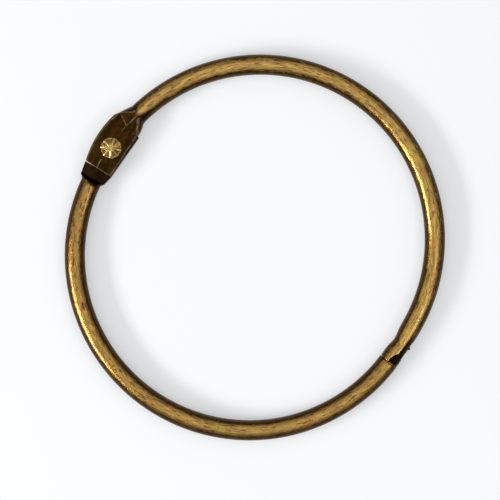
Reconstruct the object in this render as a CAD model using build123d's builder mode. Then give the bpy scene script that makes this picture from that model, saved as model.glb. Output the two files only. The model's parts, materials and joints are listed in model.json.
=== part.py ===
from build123d import *

import os
from math import asin, cos, degrees, radians, sin, sqrt

# A hinged binder ring, lying flat and closed. Millimetres. The origin is the ring's centre on the
# plane it lies on. +X points from the hinge to the catch, +Y to the upper half ring, +Z up.

# ---- Tube and ring ----
TUBE_DIA = 3.0            # outside diameter of the rolled tube
WALL = 0.4                # strip thickness
ARC_RADIUS = 25.8         # radius of each half ring, to the middle of the tube
ARC_OFFSET = 1.47         # each half's arc centre stands this far from the ring's centre, along Y

# ---- Hinge. Reaches are from the rivet's axis: out of the ring (-X), into it (+X), up and down Y ----
HINGE_Y = 0.54            # the rivet stands this far above the ring's centre
EAR_THICKNESS = 0.45
BLADE_THICKNESS = 1.6
SIDE_CLEARANCE = 0.05     # between the blade and each ear
EAR_OUT = 2.75            # widest reach of the ears out of the ring
EAR_IN = 2.27             # reach of the ears into the ring
EAR_DOWN = 3.58           # down to the ears' cut end
EAR_DOWN_OUT = 2.13       # outward reach at that cut end
EAR_ROUND = 0.3           # rounding along the ears' long edges
EAR_END_ROUND = 0.12      # rounding of the cut end
SHOULDER_UP = 4.4         # up to where the fork starts to narrow
SHOULDER_OUT = 2.33       # outward reach there
SHOULDER_LENGTH = 2.16    # from there to the round tube

BLADE_OUT = 2.16          # reach of the blade out of the ring
BLADE_IN = 2.55           # reach of the blade's upper end into the ring
BLADE_DOWN_IN = 2.33      # inward reach at the ears' cut end
BLADE_UP = 3.6            # up to the blade's end
BLADE_STOP_GAP = 0.06     # between the blade's end and the fork's walls
BLADE_ROUND = 0.2
COLLAR_LENGTH = 1.75      # the blade's tapered length that shows below the ears
COLLAR_WIDTH = 3.8        # its width at its foot
STEP_LENGTH = 0.5         # the steep step from the collar to the round tube

RIVET_DIA = 1.6
RIVET_CLEARANCE = 0.05    # radial, in the blade, which turns on it
RIVET_SEAT = 0.01         # radial, in the ears, which it clamps
HEAD_DIA = 3.1
HEAD_HEIGHT = 0.5
HEAD_RIM = 0.12           # height of the head's upright rim
FLUTES = 12
FLUTE_DIA = 0.36
FLUTE_LENGTH = 1.3
FLUTE_TILT = 17           # degrees that a flute falls towards the rim
DIMPLE_DIA = 0.5
DIMPLE_DEPTH = 0.12
FOOT_DIA = 2.8            # the flat lower head
FOOT_HEIGHT = 0.2

# ---- Catch ----
JOINT_DROP = 1.8          # the free ends meet this far below the lower arc's centre
JOINT_GAP = 0.12
RIM_ROUND = 0.15          # rounding of the free ends' rims
SLOT_HEIGHT = 1.2         # slot in the upper half's outer wall
SLOT_CLEARANCE = 0.15     # between the slot's edges and the tongue's strip, each side
SLOT_UP = 1.3             # from the tooth up to the slot's closed end
MOUTH_LENGTH = 2.25       # the slot's flared mouth, measured along the tube
MOUTH_DEPTH = 1.65        # how far the mouth cuts in from the outside, at the tip
MOUTH_BOW = 0.4           # how far the mouth's edge bows away from a straight cut
TONGUE_HEIGHT = 1.9       # height of the tongue's root
TONGUE_LENGTH = 1.55      # length of the tongue's root
TONGUE_INSET = 0.04       # how far the root is pressed in from the tube's surface
STRIP_INSET = 0.17        # how far the tongue's strip lies inside the tube's surface
TOOTH_UP = 3.15           # from the joint up to the tooth
TOOTH_PROUD = 0.17        # how far the tooth stands out of the tube
TOOTH_LENGTH = 0.22       # length of its steep side
RAMP_LENGTH = 0.97        # length of its gentle side, to the tongue's tip
TIP_CLEARANCE = 0.25      # between the tongue's tip and the inside of the tube
TIP_THICKNESS = 0.25

# ---- Values worked out from those ----
TUBE_R = TUBE_DIA / 2
BORE_R = TUBE_R - WALL
MID_Z = TUBE_R
UPPER_Y = ARC_OFFSET
LOWER_Y = -ARC_OFFSET
OUTSIDE_X = ARC_RADIUS + TUBE_R
HINGE_X = -sqrt(ARC_RADIUS**2 - ARC_OFFSET**2)
GAP_HEIGHT = BLADE_THICKNESS + 2 * SIDE_CLEARANCE
KNUCKLE_HEIGHT = GAP_HEIGHT + 2 * EAR_THICKNESS
JOINT_ANGLE = -degrees(asin(JOINT_DROP / ARC_RADIUS))
JOINT_Y = LOWER_Y - (ARC_RADIUS - TUBE_R) * JOINT_DROP / ARC_RADIUS
TIP_Y = JOINT_Y + JOINT_GAP
TOOTH_Y = JOINT_Y + TOOTH_UP
UPPER_AXIS = Axis((0, UPPER_Y, 0), (0, 0, 1))
LOWER_AXIS = Axis((0, LOWER_Y, 0), (0, 0, 1))


def hinge(x, y):
    """A point given from the rivet's axis, in the ring's frame."""
    return (HINGE_X + x, HINGE_Y + y)


def hinge_side_angle(centre_y, y):
    """Polar angle, about an arc's centre, of the tube's middle at height y beside the hinge."""
    return 180 - degrees(asin((y - centre_y) / ARC_RADIUS))


def section(centre_y, angle):
    """Plane across the tube at a polar angle: x points out of the ring, z along the tube."""
    out = Vector(cos(radians(angle)), sin(radians(angle)), 0)
    along = Vector(-out.Y, out.X, 0)
    return Plane(origin=Vector(0, centre_y, MID_Z) + out * ARC_RADIUS, x_dir=out, z_dir=along)


def rim(shape_edges, centre):
    """The round edge whose own centre is nearest to a point."""
    rounds = shape_edges.filter_by(GeomType.CIRCLE)
    return rounds.sort_by(lambda edge: (edge.arc_center - Vector(centre)).length)[0]


# ---- Upper half ring: fork of two ears, shoulder, tube, straight free end ----
fork_wall_up = BLADE_UP + BLADE_STOP_GAP
shoulder_y = HINGE_Y + SHOULDER_UP
upper_end_angle = hinge_side_angle(UPPER_Y, shoulder_y + SHOULDER_LENGTH)
slot_length = TOOTH_Y + SLOT_UP - TIP_Y + SLOT_HEIGHT
mouth_tip = Vector(OUTSIDE_X - MOUTH_DEPTH, TIP_Y)
mouth_top = Vector(OUTSIDE_X, TIP_Y + MOUTH_LENGTH)
mouth_chord = mouth_top - mouth_tip
mouth_middle = mouth_tip + mouth_chord / 2 + mouth_chord.normalized().rotate(Axis.Z, 90) * MOUTH_BOW

with BuildPart() as upper_half_ring:
    # the fork, pressed wide and flat
    with BuildSketch(Plane.XY.offset(MID_Z - KNUCKLE_HEIGHT / 2)):
        with BuildLine():
            ThreePointArc(
                hinge(-EAR_DOWN_OUT, -EAR_DOWN),
                hinge(-EAR_OUT, 0),
                hinge(-SHOULDER_OUT, SHOULDER_UP),
            )
            Polyline(
                hinge(-SHOULDER_OUT, SHOULDER_UP),
                hinge(EAR_IN, SHOULDER_UP),
                hinge(EAR_IN, -EAR_DOWN),
                hinge(-EAR_DOWN_OUT, -EAR_DOWN),
            )
        make_face()
    extrude(amount=KNUCKLE_HEIGHT)
    level_edges = edges().filter_by(Axis.Z, reverse=True)
    fillet(level_edges.filter_by(Axis.X, reverse=True), EAR_ROUND)
    fillet(faces().sort_by(Axis.Y)[0].edges(), EAR_END_ROUND)

    # the shoulder, from the fork's upper end to the round tube
    fork_end = faces().sort_by(Axis.Y)[-1]
    with BuildSketch(section(UPPER_Y, upper_end_angle), mode=Mode.PRIVATE) as upper_tube_end:
        Circle(TUBE_R)
    loft(sections=[fork_end, upper_tube_end.sketch.face()])

    # the tube and its straight free end
    with BuildSketch(section(UPPER_Y, 0)):
        Circle(TUBE_R)
    revolve(axis=UPPER_AXIS, revolution_arc=upper_end_angle)
    with BuildSketch(section(UPPER_Y, 0)):
        Circle(TUBE_R)
    extrude(amount=TIP_Y - UPPER_Y)
    fillet(rim(edges(), (ARC_RADIUS, TIP_Y, MID_Z)), RIM_ROUND)

    # the hollow, as far as the fork
    with BuildSketch(section(UPPER_Y, 0)):
        Circle(BORE_R)
    revolve(axis=UPPER_AXIS, revolution_arc=hinge_side_angle(UPPER_Y, shoulder_y), mode=Mode.SUBTRACT)
    with BuildSketch(section(UPPER_Y, 0)):
        Circle(BORE_R)
    extrude(amount=TIP_Y - UPPER_Y, mode=Mode.SUBTRACT)

    # the gap between the ears, and the pocket between the fork's walls
    with BuildSketch(Plane.XY.offset(MID_Z - GAP_HEIGHT / 2)):
        with BuildLine():
            Polyline(
                hinge(-2 * EAR_OUT, -2 * EAR_DOWN),
                hinge(2 * EAR_IN, -2 * EAR_DOWN),
                hinge(2 * EAR_IN, fork_wall_up),
                hinge(EAR_IN - WALL, fork_wall_up),
                hinge(EAR_IN - WALL, SHOULDER_UP),
                hinge(WALL - SHOULDER_OUT, SHOULDER_UP),
                hinge(WALL - SHOULDER_OUT, fork_wall_up),
                hinge(-2 * EAR_OUT, fork_wall_up),
                close=True,
            )
        make_face()
    extrude(amount=GAP_HEIGHT, mode=Mode.SUBTRACT)

    # the rivet's hole through both ears
    with Locations((*hinge(0, 0), MID_Z)):
        Cylinder(RIVET_DIA / 2 + RIVET_SEAT, KNUCKLE_HEIGHT, mode=Mode.SUBTRACT)

    # the catch's slot in the outer wall, open to the tip
    with BuildSketch(Plane.YZ.offset(ARC_RADIUS)):
        with Locations((TOOTH_Y + SLOT_UP - slot_length / 2, MID_Z)):
            SlotOverall(slot_length, SLOT_HEIGHT)
    extrude(amount=TUBE_DIA, mode=Mode.SUBTRACT)

    # the slot's flared mouth, cut right through from the outside
    with BuildSketch(Plane.XY):
        with BuildLine():
            ThreePointArc(mouth_tip, mouth_middle, mouth_top)
            Polyline(
                mouth_top,
                (OUTSIDE_X + TUBE_R, mouth_top.Y),
                (OUTSIDE_X + TUBE_R, TIP_Y - TUBE_R),
                (mouth_tip.X, TIP_Y - TUBE_R),
                mouth_tip,
            )
        make_face()
    extrude(amount=TUBE_DIA, mode=Mode.SUBTRACT)

upper_half_ring.part.label = "upper_half_ring"

# ---- Lower half ring: tapered blade, steep step, tube, tongue ----
collar_y = HINGE_Y - EAR_DOWN - COLLAR_LENGTH
collar_plane = section(LOWER_Y, hinge_side_angle(LOWER_Y, collar_y))
collar_out = collar_plane.origin + collar_plane.x_dir * COLLAR_WIDTH / 2
collar_in = collar_plane.origin - collar_plane.x_dir * COLLAR_WIDTH / 2
lower_end_angle = hinge_side_angle(LOWER_Y, collar_y - STEP_LENGTH)
lower_sweep = 360 + JOINT_ANGLE - lower_end_angle
corner_up = sqrt(BLADE_UP**2 - BLADE_OUT**2)
corner_turn = asin(BLADE_OUT / BLADE_UP) / 2
tongue_start = JOINT_ANGLE - degrees(RIM_ROUND / ARC_RADIUS) * 2
tongue_sweep = degrees(TONGUE_LENGTH / ARC_RADIUS)
strip_out = OUTSIDE_X - STRIP_INSET
strip_in = strip_out - WALL
strip_foot = JOINT_Y + TONGUE_LENGTH / 2
tip_out = ARC_RADIUS + BORE_R - TIP_CLEARANCE

with BuildPart() as lower_half_ring:
    # the blade; its hidden outer corner is rounded about the rivet, so that it can turn in the fork
    with BuildSketch(Plane.XY.offset(MID_Z - BLADE_THICKNESS / 2)):
        with BuildLine():
            Polyline(
                (collar_out.X, collar_out.Y),
                hinge(-BLADE_OUT, -EAR_DOWN),
                hinge(-BLADE_OUT, corner_up),
            )
            ThreePointArc(
                hinge(-BLADE_OUT, corner_up),
                hinge(-BLADE_UP * sin(corner_turn), BLADE_UP * cos(corner_turn)),
                hinge(0, BLADE_UP),
            )
            Polyline(
                hinge(0, BLADE_UP),
                hinge(BLADE_IN, BLADE_UP),
                hinge(BLADE_DOWN_IN, -EAR_DOWN),
                (collar_in.X, collar_in.Y),
                (collar_out.X, collar_out.Y),
            )
        make_face()
    extrude(amount=BLADE_THICKNESS)
    collar_foot = faces().sort_by(Axis.Y)[0]
    level_edges = edges().filter_by(Axis.Z, reverse=True) - collar_foot.edges()
    fillet(level_edges, BLADE_ROUND)

    # the steep step, from the blade's foot to the round tube
    collar_foot = faces().sort_by(Axis.Y)[0]
    with BuildSketch(section(LOWER_Y, lower_end_angle), mode=Mode.PRIVATE) as lower_tube_end:
        Circle(TUBE_R)
    loft(sections=[collar_foot, lower_tube_end.sketch.face()])

    # the tube and its hollow
    with BuildSketch(section(LOWER_Y, lower_end_angle)):
        Circle(TUBE_R)
    revolve(axis=LOWER_AXIS, revolution_arc=lower_sweep)
    fillet(rim(edges(), section(LOWER_Y, JOINT_ANGLE).origin), RIM_ROUND)
    with BuildSketch(section(LOWER_Y, lower_end_angle)):
        Circle(BORE_R)
    revolve(axis=LOWER_AXIS, revolution_arc=lower_sweep, mode=Mode.SUBTRACT)

    # the tongue's root, which is the tube's outer wall running on, pressed in a little
    with BuildSketch(section(LOWER_Y, tongue_start)):
        Circle(TUBE_R - TONGUE_INSET)
        Circle(BORE_R - TONGUE_INSET, mode=Mode.SUBTRACT)
        with Locations((TUBE_R, 0)):
            Rectangle(TUBE_DIA, TONGUE_HEIGHT, mode=Mode.INTERSECT)
    revolve(axis=LOWER_AXIS, revolution_arc=tongue_sweep)

    # the tongue's narrow strip, with its tooth and ramp
    with BuildSketch(Plane.XY.offset(MID_Z - SLOT_HEIGHT / 2 + SLOT_CLEARANCE)):
        with BuildLine():
            Polyline(
                (strip_in, strip_foot),
                (strip_out, strip_foot),
                (strip_out, TOOTH_Y - TOOTH_LENGTH),
                (OUTSIDE_X + TOOTH_PROUD, TOOTH_Y),
                (tip_out, TOOTH_Y + RAMP_LENGTH),
                (tip_out - TIP_THICKNESS, TOOTH_Y + RAMP_LENGTH),
                (strip_in, TOOTH_Y),
                close=True,
            )
        make_face()
    extrude(amount=SLOT_HEIGHT - 2 * SLOT_CLEARANCE)

    # the hole that turns on the rivet
    with Locations((*hinge(0, 0), MID_Z)):
        Cylinder(RIVET_DIA / 2 + RIVET_CLEARANCE, BLADE_THICKNESS, mode=Mode.SUBTRACT)

lower_half_ring.part.label = "lower_half_ring"

# ---- Hinge rivet: shank, flat lower head, fluted upper head ----
ears_top = MID_Z + KNUCKLE_HEIGHT / 2
ears_bottom = MID_Z - KNUCKLE_HEIGHT / 2
head_r = HEAD_DIA / 2
dome_rise = HEAD_HEIGHT - HEAD_RIM
dome_radius = (head_r**2 + dome_rise**2) / (2 * dome_rise)
dome_half_angle = asin(head_r / dome_radius) / 2
dome_centre_z = ears_top + HEAD_HEIGHT - dome_radius

with BuildPart() as hinge_rivet:
    with BuildSketch(Plane(origin=(*hinge(0, 0), 0), x_dir=(1, 0, 0), z_dir=(0, -1, 0))):
        with BuildLine():
            Polyline(
                (0, ears_top + HEAD_HEIGHT),
                (0, ears_bottom - FOOT_HEIGHT),
                (FOOT_DIA / 2, ears_bottom - FOOT_HEIGHT),
                (FOOT_DIA / 2, ears_bottom),
                (RIVET_DIA / 2, ears_bottom),
                (RIVET_DIA / 2, ears_top),
                (head_r, ears_top),
                (head_r, ears_top + HEAD_RIM),
            )
            ThreePointArc(
                (head_r, ears_top + HEAD_RIM),
                (
                    dome_radius * sin(dome_half_angle),
                    dome_centre_z + dome_radius * cos(dome_half_angle),
                ),
                (0, ears_top + HEAD_HEIGHT),
            )
        make_face()
    revolve(axis=Axis((*hinge(0, 0), 0), (0, 0, 1)))

    # radial flutes round the upper head, and the dimple in its middle
    with Locations((*hinge(0, 0), ears_top + HEAD_HEIGHT)):
        with PolarLocations(FLUTE_LENGTH / 2 + DIMPLE_DIA / 2, FLUTES):
            Cylinder(FLUTE_DIA / 2, FLUTE_LENGTH, rotation=(0, 90 + FLUTE_TILT, 0), mode=Mode.SUBTRACT)
        Cone(DIMPLE_DIA / 8, DIMPLE_DIA / 2, 2 * DIMPLE_DEPTH, mode=Mode.SUBTRACT)

hinge_rivet.part.label = "hinge_rivet"

# ---- Files ----
os.makedirs("parts", exist_ok=True)
export_step(upper_half_ring.part, "parts/upper_half_ring.step")
export_step(lower_half_ring.part, "parts/lower_half_ring.step")
export_step(hinge_rivet.part, "parts/hinge_rivet.step")
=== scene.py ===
# %% [markdown]
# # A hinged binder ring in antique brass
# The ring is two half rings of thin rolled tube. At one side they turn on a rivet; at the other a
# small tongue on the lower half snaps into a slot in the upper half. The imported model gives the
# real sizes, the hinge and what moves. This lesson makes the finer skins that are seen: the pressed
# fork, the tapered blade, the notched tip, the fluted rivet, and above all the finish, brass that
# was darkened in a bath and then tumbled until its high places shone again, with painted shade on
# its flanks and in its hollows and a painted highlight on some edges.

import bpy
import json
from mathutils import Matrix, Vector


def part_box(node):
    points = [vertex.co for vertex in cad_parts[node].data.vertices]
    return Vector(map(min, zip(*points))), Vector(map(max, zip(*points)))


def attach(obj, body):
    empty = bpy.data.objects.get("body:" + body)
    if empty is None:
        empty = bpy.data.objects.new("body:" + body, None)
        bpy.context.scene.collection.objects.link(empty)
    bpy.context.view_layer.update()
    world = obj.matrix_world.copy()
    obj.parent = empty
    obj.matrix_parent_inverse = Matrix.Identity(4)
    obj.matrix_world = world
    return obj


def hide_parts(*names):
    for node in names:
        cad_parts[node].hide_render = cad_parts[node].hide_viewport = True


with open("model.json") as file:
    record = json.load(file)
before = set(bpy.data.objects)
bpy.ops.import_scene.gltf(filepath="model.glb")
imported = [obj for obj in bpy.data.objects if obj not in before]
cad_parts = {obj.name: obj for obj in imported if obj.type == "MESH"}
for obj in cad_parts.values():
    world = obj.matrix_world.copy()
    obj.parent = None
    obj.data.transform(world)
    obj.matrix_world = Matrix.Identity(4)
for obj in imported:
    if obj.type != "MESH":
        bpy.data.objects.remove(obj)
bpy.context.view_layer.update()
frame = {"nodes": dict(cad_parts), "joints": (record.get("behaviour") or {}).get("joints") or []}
print("packed nodes:", ", ".join(sorted(frame["nodes"])))

# %% [markdown]
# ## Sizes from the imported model
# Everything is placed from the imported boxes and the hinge's own position, so the skins fit without
# any nudging. The half rings are arcs whose centres stand a little above and below the middle. That
# offset isn't stored anywhere, but the hinge lies on both arcs and the box gives their top, and
# these two facts fix it.

# %% Work out the arcs
import json
import math

import bmesh
import bpy
import numpy as np
from mathutils import Vector

MM = 0.001
hinge_x, hinge_y, tube_r = (value / MM for value in frame["joints"][0]["pos_m"])
upper_low, upper_high = (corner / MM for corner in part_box("upper_half_ring"))
lower_low, lower_high = (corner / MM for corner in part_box("lower_half_ring"))
rivet_low, rivet_high = (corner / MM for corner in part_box("hinge_rivet"))
arc_top = upper_high.y - tube_r
arc_offset = (arc_top**2 - hinge_x**2) / (2 * arc_top)
arc_r = arc_top - arc_offset
WALL = 0.4
bore_r = tube_r - WALL
print(f"tube {2 * tube_r:.2f} mm, arc radius {arc_r:.2f} mm, arc centres {arc_offset:.2f} mm off")

# %% [markdown]
# ## One loop of points for every section
# Along its length the strip changes from a flat pressed plate to a round tube. It could be made of
# separate plates and tubes, but the change between them is the most characteristic place on the
# ring. So each half is one skin, a stack of loops with the same number of points. A loop's points
# have fixed duties: a few for the side, a few for the rounded corner and many for the flat, so that
# creases keep to one column of points from the plate to the tube.

# %% Points of a section
SIDE, CORNER, FLAT = 4, 6, 30
QUARTER = SIDE + CORNER + FLAT
POINTS = 4 * QUARTER


def whole_loop(across, height):
    """All four quarters of a loop, from a quarter that runs from the outer side up to the middle."""
    turned_across = np.concatenate([across[:-1], -across[:0:-1]])
    turned_height = np.concatenate([height[:-1], height[:0:-1]])
    return np.stack([
        np.concatenate([turned_across, -turned_across]),
        np.concatenate([turned_height, -turned_height]),
    ], axis=1)


def plate_loop(half_width, half_height, corner):
    """A flat bar with rounded corners: across, then height."""
    turn = np.linspace(0, math.pi / 2, CORNER + 1)[:-1]
    across = np.concatenate([
        np.full(SIDE, half_width),
        half_width - corner + corner * np.cos(turn),
        np.linspace(half_width - corner, 0, FLAT + 1),
    ])
    height = np.concatenate([
        np.linspace(0, half_height - corner, SIDE + 1)[:-1],
        half_height - corner + corner * np.sin(turn),
        np.full(FLAT + 1, half_height),
    ])
    return whole_loop(across, height)


def tube_loop(radius, pressed=0.0):
    """A round tube. Where it was pressed, its side and corner points crowd away from the crest."""
    even = np.linspace(0, 90, QUARTER + 1)
    crowded = np.concatenate([
        np.linspace(0, 42, SIDE + 1)[:-1],
        np.linspace(42, 68, CORNER + 1)[:-1],
        np.linspace(68, 90, FLAT + 1),
    ])
    turn = np.radians(even + (crowded - even) * pressed)
    return whole_loop(radius * np.cos(turn), radius * np.sin(turn))


print(POINTS, "points in each loop")

# %% [markdown]
# A loop is drawn flat, as across and height. To stand it in the ring it needs a middle and the
# direction that points out of the ring there. Round the tube both follow from the polar angle.

# %% Stand a loop in the ring
def stand(loop, middle, out):
    """Across runs along out, which is level; height runs up from the tube's middle height."""
    level = np.outer(loop[:, 0], out) + middle
    return np.column_stack([level, loop[:, 1] + tube_r])


def on_arc(centre_y, angle):
    """The tube's middle and its outward direction at a polar angle, in degrees."""
    out = np.array([math.cos(math.radians(angle)), math.sin(math.radians(angle))])
    return np.array([0, centre_y]) + arc_r * out, out


def angle_beside_hinge(centre_y, y):
    return 180 - math.degrees(math.asin((y - centre_y) / arc_r))


def share(value, start, end):
    """How far value has gone from start to end, kept between 0 and 1."""
    return np.clip((value - start) / (end - start), 0, 1)


def edge_inset(distance, radius):
    """How far a rounded edge has drawn in, at a distance from the end it rounds."""
    return radius - math.sqrt(max(radius**2 - max(radius - distance, 0) ** 2, 0))


# %% [markdown]
# ## The fork and the shoulder
# The upper half's end is pressed into a flat fork, wider than the tube, whose outer edge bulges.
# Above it the shoulder gathers the plate back into the tube. On the real strip this leaves creases:
# an arch on the inner side, a slanting one on the outer side, and a ridge along the middle that
# dies out towards the rivet. Sculpting them would do, but each is a line between two loops' points,
# so giving the flat, the sides and the crest their own pace of change makes them by itself.

# %% Loops of the fork and shoulder
EAR_IN = 2.27
EAR_END = upper_low.y
EAR_ROUND, EAR_END_ROUND = 0.3, 0.12
SHOULDER_Y = hinge_y + 4.4
SHOULDER_LENGTH = 2.16
FORK_HALF_HEIGHT = 1.3
RIDGE_FOOT_Y, RIDGE_HALF_WIDTH = 2.8, 0.45
DIAGONAL = (np.array([-27.29, 5.57]), np.array([-25.69, 4.55]))
DIAGONAL_RISE = 0.07
WAIST_Y, WAIST_DEPTH = 6.45, 0.13
WAIST_SPREAD = 0.4
CREASE_IN, CREASE_IN_PACE = (4.3, 6.25), 1.3
CREASE_OUT = (5.5, 6.7)
FACET_FADE = (6.2, 7.0)
RIDGE_RISE = 0.2
ROW_STEP = 0.08
EAR_DOWN_OUT, EAR_OUT, SHOULDER_OUT = 2.13, hinge_x - upper_low.x - 0.02, 2.33
ear_reach = np.polyfit((EAR_END - hinge_y, 0, SHOULDER_Y - hinge_y),
                       (EAR_DOWN_OUT, EAR_OUT, SHOULDER_OUT), 2)
upper_tube_angle = angle_beside_hinge(arc_offset, SHOULDER_Y + SHOULDER_LENGTH)
crowded_tube = tube_loop(tube_r, pressed=1)
is_flat = np.abs(plate_loop(1, 1, 0.1)[:, 1]) > 0.999
outer_side = plate_loop(1, 1, 0.1)[:, 0] > 0


def fork_row(y):
    """One loop of the fork or the shoulder, at height y beside the hinge."""
    reach = np.polyval(ear_reach, min(y, SHOULDER_Y) - hinge_y)
    drawn_in = edge_inset(y - EAR_END, EAR_END_ROUND)
    gathered = float(share(y, SHOULDER_Y, SHOULDER_Y + SHOULDER_LENGTH))
    plate = plate_loop((EAR_IN + reach) / 2 - drawn_in, FORK_HALF_HEIGHT - drawn_in, EAR_ROUND)
    flat_in = share(y, *CREASE_IN) ** CREASE_IN_PACE
    flat_out = share(y, *CREASE_OUT)
    pace = np.where(is_flat, np.where(outer_side, flat_out, flat_in), gathered)
    loop = plate + (crowded_tube - plate) * np.column_stack([pace, np.full(POINTS, gathered)])
    tube_middle, tube_out = on_arc(arc_offset, upper_tube_angle)
    middle = np.array([hinge_x + (EAR_IN - reach) / 2, min(y, SHOULDER_Y)])
    middle = middle + (tube_middle - middle) * gathered
    out = np.array([-1.0, 0.0]) * (1 - gathered) + tube_out * gathered
    out = out / np.linalg.norm(out)
    waist = WAIST_DEPTH * math.exp(-(((y - WAIST_Y) / WAIST_SPREAD) ** 2))
    inner = share(-loop[:, 0], 0.6, 1.4)
    loop[:, 0] += waist * inner
    ridge = RIDGE_RISE * share(y, RIDGE_FOOT_Y, SHOULDER_Y + SHOULDER_LENGTH)
    crest = FORK_HALF_HEIGHT + ridge * (1 - np.abs(loop[:, 0]) / RIDGE_HALF_WIDTH)
    standing = stand(loop, middle, out)
    start, end = DIAGONAL
    along = (end - start) / np.linalg.norm(end - start)
    past = (standing[:, :2] - start) @ np.array([-along[1], along[0]])
    facet = DIAGONAL_RISE * np.clip(past, 0, 1.2) * outer_side * share(loop[:, 0], 0, 0.3)
    facet *= 1 - share(y, *FACET_FADE)
    lifted = np.maximum(np.abs(loop[:, 1]) + facet * is_flat, np.where(is_flat, crest, 0))
    lifted = np.minimum(lifted, tube_r)
    standing[:, 2] = tube_r + np.sign(loop[:, 1]) * lifted
    return standing


end_rounding = EAR_END + EAR_END_ROUND * np.array([0, 0.08, 0.25, 0.5, 0.75])
fork_heights = np.concatenate([
    end_rounding,
    np.arange(EAR_END + EAR_END_ROUND, SHOULDER_Y + SHOULDER_LENGTH, ROW_STEP),
])
fork_rows = [fork_row(y) for y in fork_heights]
print(len(fork_rows), "loops from the ears' cut end to the tube")

# %% [markdown]
# ## The tube, its tip and its bore
# The tube follows its arc and ends in a short straight length. The strip's end was cut in a shallow
# curve, so the tip runs a little further along its crest than along its sides. The bore could be
# cut out later, but turning the skin round the rim and back up inside gives clean, closed walls.

# %% Loops of the two tubes
TUBE_STEP = 1.25
BORE_STEP = 3.0
TIP_ARCH = 0.25
ARCH_LENGTH = 1.5
RIM_ROUND, RIM_INNER_ROUND = 0.15, 0.06
RELAX_ANGLE = 20


def tube_rows(centre_y, first, last):
    """Loops round an arc. The points spread out evenly within the first few degrees."""
    count = max(2, round(abs(last - first) / TUBE_STEP) + 1)
    rows = []
    for angle in np.linspace(first, last, count):
        pressed = 1 - float(share(abs(angle - first), 0, RELAX_ANGLE))
        rows.append(stand(tube_loop(tube_r, pressed), *on_arc(centre_y, angle)))
    return rows


def rim_rows(middle, out, along):
    """The tip's rounded outer edge, its flat rim and the inner edge, ending inside the bore."""
    rows = []
    for turn in np.radians(np.linspace(0, 90, 6)):
        radius = tube_r - RIM_ROUND * (1 - math.cos(turn))
        back = RIM_ROUND * (1 - math.sin(turn))
        rows.append(stand(tube_loop(radius), middle - along * back, out))
    for turn in np.radians(np.linspace(0, 90, 4)):
        radius = bore_r + RIM_INNER_ROUND * (1 - math.sin(turn))
        back = RIM_INNER_ROUND * (1 - math.cos(turn))
        rows.append(stand(tube_loop(radius), middle - along * back, out))
    return rows


def bore_rows(centre_y, first, last):
    """The bore's wall, from the tip back towards the hinge."""
    count = round(abs(last - first) / BORE_STEP) + 1
    return [stand(tube_loop(bore_r), *on_arc(centre_y, a)) for a in np.linspace(first, last, count)]


def arch_tip(rows, tip_y):
    """Slides the loops near the joint so that the end is cut in a shallow curve."""
    for row in rows:
        near = 1 - share(np.abs(row[:, 1] - tip_y), 0, ARCH_LENGTH)
        crest = ((row[:, 2] - tube_r) / tube_r) ** 2
        beside_catch = row[:, 0] > 0
        row[:, 1] += TIP_ARCH * (0.5 - crest) * near**2 * beside_catch


# %% [markdown]
# ## Making and cutting meshes
# A stack of loops becomes faces in one pass: quads between neighbouring loops and one face at each
# end. Gaps, slots and holes are cut afterwards with Blender's boolean modifier, which is then
# applied, so that the piece that is handed on is a plain closed mesh.

# %% Skins and cuts
def new_piece(name, points, faces):
    mesh = bpy.data.meshes.new(name)
    mesh.from_pydata((np.asarray(points) * MM).tolist(), [], faces)
    shell = bmesh.new()
    shell.from_mesh(mesh)
    bmesh.ops.recalc_face_normals(shell, faces=shell.faces)
    shell.to_mesh(mesh)
    shell.free()
    piece = bpy.data.objects.new(name, mesh)
    bpy.context.scene.collection.objects.link(piece)
    return piece


def skin(name, rows):
    """A closed mesh over a stack of loops."""
    size = len(rows[0])
    faces = []
    for r in range(len(rows) - 1):
        for k in range(size):
            following = (k + 1) % size
            faces.append((r * size + k, r * size + following,
                          (r + 1) * size + following, (r + 1) * size + k))
    faces.append(list(range(size)))
    faces.append(list(range((len(rows) - 1) * size, len(rows) * size)))
    return new_piece(name, np.concatenate(rows), faces)


def prism(name, outline, low, high):
    """An outline seen from above, made solid between two heights."""
    rows = [np.column_stack([outline, np.full(len(outline), z)]) for z in (low, high)]
    return skin(name, rows)


def cut(piece, tools, operation="DIFFERENCE"):
    """Applies one boolean after another and takes the tools away."""
    for tool in tools:
        boolean = piece.modifiers.new("cut", "BOOLEAN")
        boolean.operation = operation
        boolean.solver = "EXACT"
        boolean.object = tool
        shape = piece.evaluated_get(bpy.context.evaluated_depsgraph_get())
        result = bpy.data.meshes.new_from_object(shape)
        piece.modifiers.clear()
        old = piece.data
        piece.data = result
        bpy.data.meshes.remove(old)
        bpy.data.objects.remove(tool)
    return piece


def circle_outline(radius, count=72):
    turn = np.linspace(0, 2 * math.pi, count, endpoint=False)
    return np.column_stack([hinge_x + radius * np.cos(turn), hinge_y + radius * np.sin(turn)])


# %% [markdown]
# ## The upper half ring
# Its skin runs from the ears' cut end, over the shoulder, round the tube to the tip and back inside.
# Four cuts finish it: the gap that the blade turns in, the rivet's hole, the slot that the tongue's
# tooth snaps into, and the flared mouth that was clipped from the outer side of the tip. Above the
# joint the inner side was squeezed in a little, which a plain sweep would miss, so a last pass over
# the loops draws it in.

# %% Upper skin and its cuts
RIVET_R = 0.8
GAP_HALF_HEIGHT = 0.85
FORK_WALL_Y = hinge_y + 3.66
SLOT_HALF = 0.6
TOOTH_Y = -0.015
SLOT_END_Y = TOOTH_Y + 1.3
MOUTH_LENGTH, MOUTH_DEPTH, MOUTH_BOW = 2.25, 1.65, 0.4
FAR = 6.0
UP = np.array([0.0, 1.0])
OUT = np.array([1.0, 0.0])
tip_y = upper_low.y
outside_x = arc_r + tube_r

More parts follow.
